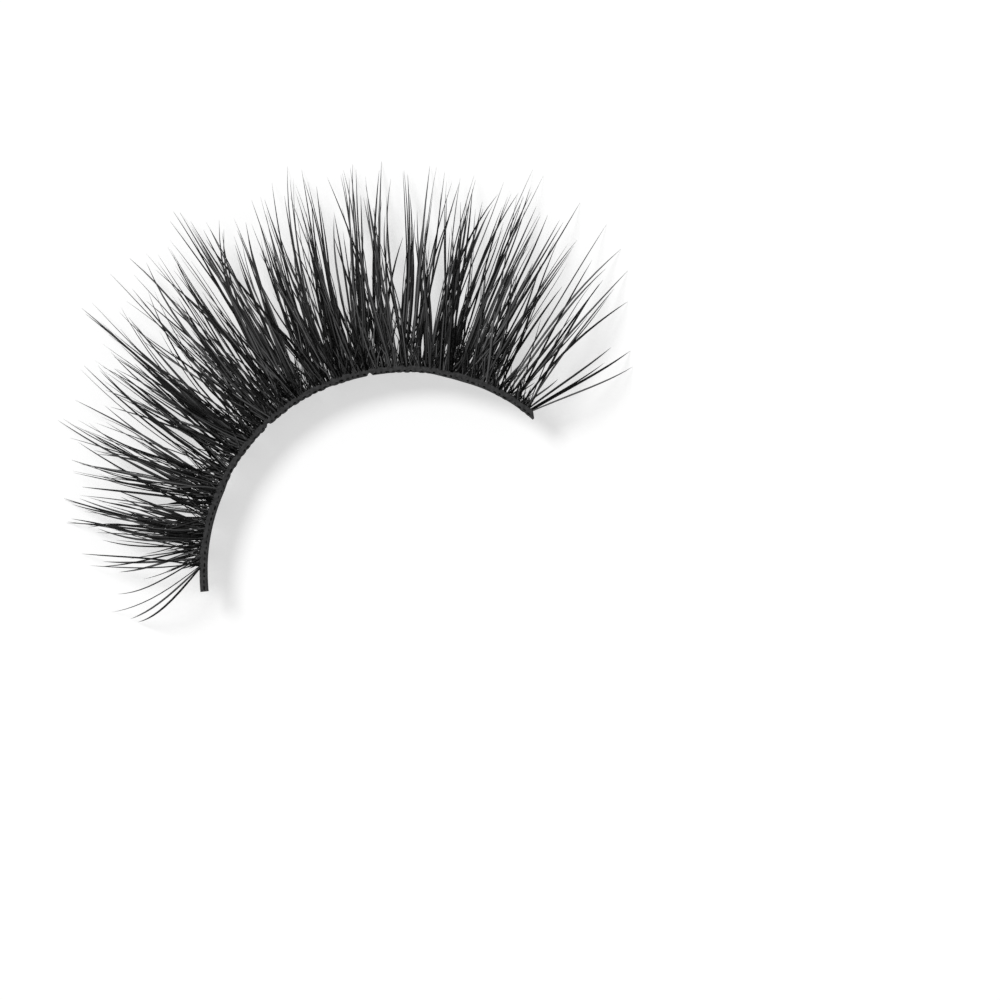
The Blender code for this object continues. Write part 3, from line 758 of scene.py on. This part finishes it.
def thread_material(look):
    """Matt coated thread: charcoal with a fine mottle, and fine turns that show as a low relief."""
    sheet, material = shader_sheet("coated_thread")
    mottle = speckle(sheet, THREAD_MOTTLE)
    flecks = speckle(sheet, THREAD_FLECKS, *FLECK_NOISE).math("GREATER_THAN", FLECK_LEVEL)
    worn = sheet.get("ShaderNodeAttribute", {"attribute_name": "worn"}, output="Fac")
    share = (mottle - 0.5) * MOTTLE_CONTRAST + THREAD_GREY + flecks * worn * FLECK_STRENGTH
    turns = sheet.get("ShaderNodeUVMap")
    values = {"Vector": turns, "Scale": look.turns, "Distortion": 2.0, "Detail": 2.0, "Detail Scale": 2.0}
    ribs = sheet.get("ShaderNodeTexWave", {"bands_direction": "DIAGONAL"}, values, "Fac")
    relief = {"Strength": 0.5, "Height": mottle * (1 - RIB_SHARE) + ribs * RIB_SHARE}
    close_coat(sheet, look, share, relief, mottle * ROUGHNESS_SWING + THREAD_ROUGHNESS)
    return material


def knot_material(look):
    """Coated knots: the band's charcoal with a finer mottle."""
    sheet, material = shader_sheet("coated_knots")
    mottle = speckle(sheet, KNOT_MOTTLE)
    flecks = speckle(sheet, KNOT_FLECKS, *FLECK_NOISE)
    mixed = mottle * KNOT_MIX[0] + flecks * KNOT_MIX[1] - sum(KNOT_MIX) / 2
    share = mixed * MOTTLE_CONTRAST + KNOT_GREY
    roughness = mottle * ROUGHNESS_SWING + KNOT_ROUGHNESS
    close_coat(sheet, look, share, {"Strength": 0.6, "Height": flecks}, roughness)
    return material


class HairLook(bpy.types.PropertyGroup):
    """Sizes and finish of the hair."""

    strand_thickness: bpy.props.FloatProperty(
        name="Strand Thickness", description="Thickness of one hair at its root", default=0.0001,
        min=0.00001, precision=6, unit="LENGTH",
    )
    bunch_width: bpy.props.FloatProperty(
        name="Bunch Width", description="How far a bunch of hair spreads at its root", default=0.0009,
        min=0.0, precision=6, unit="LENGTH",
    )
    strands: bpy.props.IntProperty(
        name="Strands in a Bunch", description="How many hairs each bunch has", default=5, min=1
    )
    corner_strands: bpy.props.IntProperty(
        name="Strands at the Corners", description="How many hairs a bunch has at either corner", default=1,
        min=1,
    )
    bow: bpy.props.FloatProperty(
        name="Bow", description="How far a hair bends away from its line", default=0.00026, min=0.0,
        precision=6, unit="LENGTH",
    )
    stray_hairs: bpy.props.IntProperty(
        name="Stray Hairs", description="How many single hairs stand between the bunches", default=110, min=0
    )
    shortest: bpy.props.FloatProperty(
        name="Shortest Strand", description="The shortest hair of a bunch as a share of the longest",
        default=0.38, min=0.1, max=1.0, subtype="FACTOR",
    )
    root_hairs: bpy.props.IntProperty(
        name="Root Hairs", description="How many short hairs fill the root of the strip", default=1100, min=0
    )
    lift: bpy.props.FloatProperty(
        name="Lift", description="How far hairs stray above and below their layer", default=0.00022,
        min=0.0, precision=6, unit="LENGTH",
    )
    seed: bpy.props.IntProperty(name="Seed", description="Start of the random draws", default=7)
    deep_colour: bpy.props.FloatVectorProperty(
        name="Deep Colour", description="The darkest hair", default=(0.001, 0.001, 0.001), subtype="COLOR"
    )
    # The lightest hair is a painted sheen that stands in for the strands' highlights
    painted_sheen_colour: bpy.props.FloatVectorProperty(
        name="Light Colour", description="The lightest hair", default=(0.15, 0.15, 0.1515), subtype="COLOR"
    )
    roughness: bpy.props.FloatProperty(
        name="Roughness", description="How matt the hair is", default=0.42, min=0.0, max=1.0, subtype="FACTOR"
    )
    specular: bpy.props.FloatProperty(
        name="Gloss", description="Strength of the hair's gloss", default=0.02, min=0.0, max=1.0,
        subtype="FACTOR",
    )


class BandLook(bpy.types.PropertyGroup):
    """Sizes and finish of the band and its knots."""

    section_step: bpy.props.FloatProperty(
        name="Section Step", description="Spacing of the band's cross sections", default=0.00008,
        min=0.00002, precision=6, unit="LENGTH",
    )
    groove: bpy.props.FloatProperty(
        name="Groove", description="Depth of the groove between the band's two threads", default=0.00005,
        min=0.0, precision=6, unit="LENGTH",
    )
    turns: bpy.props.FloatProperty(
        name="Turns", description="How close the thread's turns lie", default=1.6, min=0.0
    )
    seed: bpy.props.IntProperty(name="Seed", description="Start of the random draws", default=3)
    dark_colour: bpy.props.FloatVectorProperty(
        name="Dark Colour", description="Hollows of the coated thread", default=(0.022, 0.022, 0.0225),
        subtype="COLOR",
    )
    light_colour: bpy.props.FloatVectorProperty(
        name="Light Colour", description="Crowns of the coated thread", default=(0.066, 0.066, 0.067),
        subtype="COLOR",
    )
    specular: bpy.props.FloatProperty(
        name="Gloss", description="Strength of the thread's gloss", default=0.15, min=0.0, max=1.0,
        subtype="FACTOR",
    )


class StageLook(bpy.types.PropertyGroup):
    """The floor, the light and the camera."""

    floor_colour: bpy.props.FloatVectorProperty(
        name="Floor Colour", description="Colour of the floor", default=(0.6, 0.6, 0.6), subtype="COLOR"
    )
    key_strength: bpy.props.FloatProperty(
        name="Key Light", description="Strength of the soft key light", default=1.9, min=0.0
    )
    fill_strength: bpy.props.FloatProperty(
        name="Fill Light", description="Strength of the light from all round", default=0.35, min=0.0
    )
    table_glow: bpy.props.FloatProperty(
        name="Table Glow", description="Light that the floor gives, as a light table does", default=0.52,
        min=0.0,
    )
    lens: bpy.props.FloatProperty(
        name="Lens", description="Focal length of the camera", default=400.0, min=10.0, unit="CAMERA"
    )


class LashSettings(bpy.types.PropertyGroup):
    """All that a user would change."""

    hair: bpy.props.PointerProperty(type=HairLook)
    band: bpy.props.PointerProperty(type=BandLook)
    stage: bpy.props.PointerProperty(type=StageLook)


def shared(collection, name, make):
    """A node tree or material of that name, made on first use."""
    found = collection.get(name)
    return found if found else make()


def hair_finish(look):
    """The hair's material, the same for every piece."""
    return shared(bpy.data.materials, "hair_fibre", lambda: hair_material(look))


def grow_hair(mesh, look, seed, **changes):
    """A piece of hair with the name of its guide lines, which the strand tree turns into strands."""
    tree = shared(bpy.data.node_groups, "strands_on_guides", strand_tree)
    values = {
        "Strand Thickness": look.strand_thickness,
        "Bow": look.bow,
        "Points": 11,
        "Sides": 4,
        "Seed": seed,
        "Material": hair_finish(look),
    }
    values.update(changes)
    return grow(new_piece(mesh.name, mesh), tree, values)


def grow_knots(line, form, count, seed, material):
    """A piece with the name of its guide line, which the knot tree turns into knots of one form."""
    tree = shared(bpy.data.node_groups, "knots_on_guide", knot_tree)
    values = {**form, "Count": count, "Seed": seed, "Material": material}
    return grow(new_piece(line.name, line), tree, values)


class LASH_OT_hair_layers(bpy.types.Operator):
    """Grows the two crossing layers of hair bunches"""

    bl_idname = "lash.hair_layers"
    bl_label = "Hair Layers"

    def execute(self, context):
        look = context.scene.lash_strip.hair
        layers = (
            ("inner_swept_hair", "inner_swept_locks", INNER_SWEPT_BUNCHES, LAYER_OFFSET, INNER_SEED),
            ("outer_swept_hair", "outer_swept_locks", OUTER_SWEPT_BUNCHES, -LAYER_OFFSET, OUTER_SEED),
        )
        for name, node, bunches, offset, step in layers:
            seed = look.seed + step
            strands = strands_of(bunches, look, np.random.default_rng(seed))
            mesh = guide_mesh(name, strands, offset, GUIDE_POINTS, look.lift)
            join_to_strip(grow_hair(mesh, look, seed), "hair", node)
        return {"FINISHED"}


class LASH_OT_loose_hair(bpy.types.Operator):
    """Grows the single hairs between the bunches, and the short ones that make the root dense"""

    bl_idname = "lash.loose_hair"
    bl_label = "Stray and Root Hair"

    def execute(self, context):
        look = context.scene.lash_strip.hair
        seed = look.seed + STRAY_SEED
        strands = stray_strands(look, np.random.default_rng(seed))
        mesh = guide_mesh("stray_hair", strands, 0.0, GUIDE_POINTS, look.lift * STRAY_LIFT)
        join_to_strip(grow_hair(mesh, look, seed), "hair")
        seed = look.seed + ROOT_SEED
        strands = root_strands(look, np.random.default_rng(seed))
        mesh = guide_mesh("root_hair", strands, 0.0, ROOT_GUIDE_POINTS, ROOT_LIFT)
        finer = {
            "Strand Thickness": look.strand_thickness * 0.8,
            "Bow": look.bow * 0.35,
            "Points": 6,
            "Sides": 3,
        }
        join_to_strip(grow_hair(mesh, look, seed, **finer), "hair")
        return {"FINISHED"}


def band_edges(length):
    """How far the band reaches inwards and outwards of its centre line at a length along it."""
    knots_end = BAND_LENGTH - CORNER_LENGTH
    ease = KNOT_PITCH / 4
    rows = (
        (0, TAIL_INNER_WIDTH, TAIL_OUTER_WIDTH),
        (TAIL_LENGTH - ease, TAIL_INNER_WIDTH, TAIL_OUTER_WIDTH),
        (TAIL_LENGTH, BAND_INNER_WIDTH, BAND_OUTER_WIDTH),
        (knots_end, BAND_INNER_WIDTH, BAND_OUTER_WIDTH),
        (knots_end + ease, TAIL_INNER_WIDTH, BAND_OUTER_WIDTH * CORNER_TAPER),
        (BAND_LENGTH, TAIL_INNER_WIDTH, -TAIL_INNER_WIDTH / 2),
    )
    inner = read_table([(row[0], row[1]) for row in rows], length)
    outer = read_table([(row[0], row[2]) for row in rows], length)
    coated = np.where(length < knots_end, read_table(COAT_EDGE, place_of(length)) * MM - BAND_INNER_WIDTH, 0)
    for nick in NICK_PLACES:
        beside = np.abs(length - BAND_LENGTH * nick / 100)
        coated = coated * np.clip(beside / (NICK_WIDTH / 4) - NICK_FLAT, 0, 1)
    return np.maximum(inner, BAND_INNER_WIDTH + coated), outer


def band_mesh(look):
    """The band as a rounded tape of two threads side by side, with a map of its length and girth."""
    sides = BAND_SIDES
    lengths = np.linspace(0, BAND_LENGTH, round(BAND_LENGTH / look.section_step) + 1)
    inner, outer = band_edges(lengths)
    outer = outer + EDGE_WANDER * sum(np.sin(lengths / wave + lag) * share for wave, share, lag in EDGE_WAVES)
    turn = 2 * math.pi * np.arange(sides) / sides
    across = np.sign(np.cos(turn)) * np.abs(np.cos(turn)) ** ACROSS_POWER
    upright = np.sign(np.sin(turn)) * np.abs(np.sin(turn)) ** UPRIGHT_POWER
    middle = (outer - inner) / 2
    half = (outer + inner) / 2
    out = middle[:, None] + half[:, None] * across
    valley = np.exp(-(((out - GROOVE_MIDDLE) / GROOVE_WIDTH) ** 2)) * (upright > GROOVE_FROM)
    depth = look.groove * np.where(lengths[:, None] < TAIL_LENGTH, TAIL_GROOVE, 1.0)
    height = BAND_MIDDLE + BAND_THICKNESS / 2 * upright - depth * valley
    points = on_arc(place_of(lengths)[:, None], out, height)
    rings = len(lengths)
    faces = []
    for i in range(rings - 1):
        for k in range(sides):
            n = (k + 1) % sides
            faces.append((i * sides + k, i * sides + n, (i + 1) * sides + n, (i + 1) * sides + k))
    faces.append(tuple(reversed(range(sides))))
    faces.append(tuple((rings - 1) * sides + k for k in range(sides)))
    mesh = bpy.data.meshes.new("thread_band")
    mesh.from_pydata(points.reshape(-1, 3).tolist(), [], faces)
    layer = mesh.uv_layers.new(name="UVMap")
    for face in mesh.polygons:
        for corner, vertex in zip(face.loop_indices, face.vertices):
            ring, side = divmod(vertex, sides)
            layer.data[corner].uv = (lengths[ring] / MM, side / sides)
    worn = np.interp(place_of(lengths), WORN_BETWEEN, (0, 1))
    store(mesh, "worn", "FLOAT", np.repeat(worn, sides))
    mesh.shade_smooth()
    mesh.validate()
    return mesh


def turned_outwards(mesh):
    """The mesh with its faces pointing out."""
    work = bmesh.new()
    work.from_mesh(mesh)
    bmesh.ops.recalc_face_normals(work, faces=work.faces)
    work.to_mesh(mesh)
    work.free()
    return mesh


class LASH_OT_band(bpy.types.Operator):
    """Builds the thread band"""

    bl_idname = "lash.band"
    bl_label = "Thread Band"

    def execute(self, context):
        look = context.scene.lash_strip.band
        mesh = turned_outwards(band_mesh(look))
        mesh.materials.append(thread_material(look))
        piece = new_piece("thread_band", mesh)
        join_to_strip(piece, "band_thread", "band")
        return {"FINISHED"}


def knot_line(name, start, inset, rise):
    """A guide line for knots beside the band, with the missing places marked."""
    lengths = np.linspace(start, BAND_LENGTH - CORNER_LENGTH, KNOT_GUIDE_POINTS)
    place = place_of(lengths)
    points = on_arc(place, -MM * read_table(inset, place), BAND_MIDDLE + rise)
    mesh = bpy.data.meshes.new(name)
    mesh.from_pydata(points.tolist(), [(i, i + 1) for i in range(len(lengths) - 1)], [])
    missing = np.zeros(len(lengths))
    for nick in NICK_PLACES:
        missing[np.abs(lengths - BAND_LENGTH * nick / 100) < NICK_WIDTH / 2] = 1
    store(mesh, "missing", "FLOAT", missing)
    return mesh


class LASH_OT_knots(bpy.types.Operator):
    """Sets the knots along the band's inner edge, and the dark marks of painted shade in the band's pits"""

    bl_idname = "lash.knots"
    bl_label = "Knots"

    def execute(self, context):
        look = context.scene.lash_strip.band
        count = round((BAND_LENGTH - TAIL_LENGTH - CORNER_LENGTH) / KNOT_PITCH)
        line = knot_line("coated_knots", TAIL_LENGTH, KNOT_LINE, 0.0)
        knots = grow_knots(line, KNOT_FORM, count, look.seed, knot_material(look))
        join_to_strip(knots, "knots", "knot_row")
        # Dark marks in the hair's black finish on the band's top: painted shade in the pits between the knots
        line = knot_line("pit_shade_marks", KNOT_PITCH / 2, PIT_SHADE_LINE, BAND_THICKNESS / 2)
        finish = hair_finish(context.scene.lash_strip.hair)
        marks = grow_knots(line, PIT_SHADE_FORM, round(count * PIT_SHADES_PER_KNOT), look.seed + PIT_SHADE_SEED, finish)
        join_to_strip(marks, "hair")
        return {"FINISHED"}


class LASH_OT_stage(bpy.types.Operator):
    """Sets the floor, the light and the camera"""

    bl_idname = "lash.stage"
    bl_label = "Floor, Light and Camera"

    def execute(self, context):
        look = context.scene.lash_strip.stage
        half = FLOOR_HALF_WIDTH
        mesh = bpy.data.meshes.new("floor")
        corners = [(x * half, y * half, -FLOOR_GAP) for x, y in ((-1, -1), (1, -1), (1, 1), (-1, 1))]
        mesh.from_pydata(corners, [], [(0, 1, 2, 3)])
        sheet, material = shader_sheet("pale_floor")
        constants = {
            "Base Color": (*look.floor_colour, 1.0),
            "Roughness": 0.9,
            "Specular IOR Level": 0.0,
            "Emission Color": (1.0, 1.0, 1.0, 1.0),
            "Emission Strength": look.table_glow,
        }
        close_shader(sheet, constants)
        mesh.materials.append(material)
        floor = new_piece("floor", mesh)
        sun = bpy.data.lights.new("key_light", "SUN")
        sun.energy = look.key_strength
        sun.angle = SUN_WIDTH
        lamp = new_piece("key_light", sun)
        lamp.rotation_euler = Vector(SUN_DIRECTION).to_track_quat("-Z", "Y").to_euler()
        world = bpy.data.worlds.new("studio")
        world.use_nodes = True
        ground = world.node_tree.nodes["Background"]
        ground.inputs["Color"].default_value = (1.0, 1.0, 1.0, 1.0)
        ground.inputs["Strength"].default_value = look.fill_strength
        context.scene.world = world
        context.scene.view_settings.view_transform = "Standard"
        eye = bpy.data.cameras.new("camera")
        eye.lens = look.lens
        camera = new_piece("camera", eye)
        reach = FRAME_WIDTH / 2 / (eye.sensor_width / 2 / eye.lens)
        camera.location = (VIEW_X, VIEW_Y, VIEW_HEIGHT + reach)
        camera.rotation_euler = (0, 0, -VIEW_ROLL)
        context.scene.camera = camera
        return {"FINISHED"}


class LASH_PT_panel(bpy.types.Panel):
    """The strip's settings and its pieces"""

    bl_label = "False Eyelash Strip"
    bl_idname = "LASH_PT_panel"
    bl_space_type = "VIEW_3D"
    bl_region_type = "UI"
    bl_category = "Lashes"

    def draw(self, context):
        settings = context.scene.lash_strip
        for title, group in (("Hair", settings.hair), ("Band", settings.band), ("Stage", settings.stage)):
            box = self.layout.box()
            box.label(text=title)
            for name in type(group).__annotations__:
                box.prop(group, name)
        for operator in OPERATORS:
            self.layout.operator(operator.bl_idname)


OPERATORS = (
    LASH_OT_band,
    LASH_OT_knots,
    LASH_OT_hair_layers,
    LASH_OT_loose_hair,
    LASH_OT_stage,
)
GROUPS = (HairLook, BandLook, StageLook, LashSettings)


def register():
    for kind in (*GROUPS, *OPERATORS, LASH_PT_panel):
        bpy.utils.register_class(kind)
    bpy.types.Scene.lash_strip = bpy.props.PointerProperty(type=LashSettings)


def unregister():
    del bpy.types.Scene.lash_strip
    for kind in reversed((*GROUPS, *OPERATORS, LASH_PT_panel)):
        bpy.utils.unregister_class(kind)


def main():
    """Builds every piece in order."""
    register()
    bpy.ops.lash.band()
    bpy.ops.lash.knots()
    bpy.ops.lash.hair_layers()
    bpy.ops.lash.loose_hair()
    bpy.ops.lash.stage()


if __name__ == "__main__":
    main()
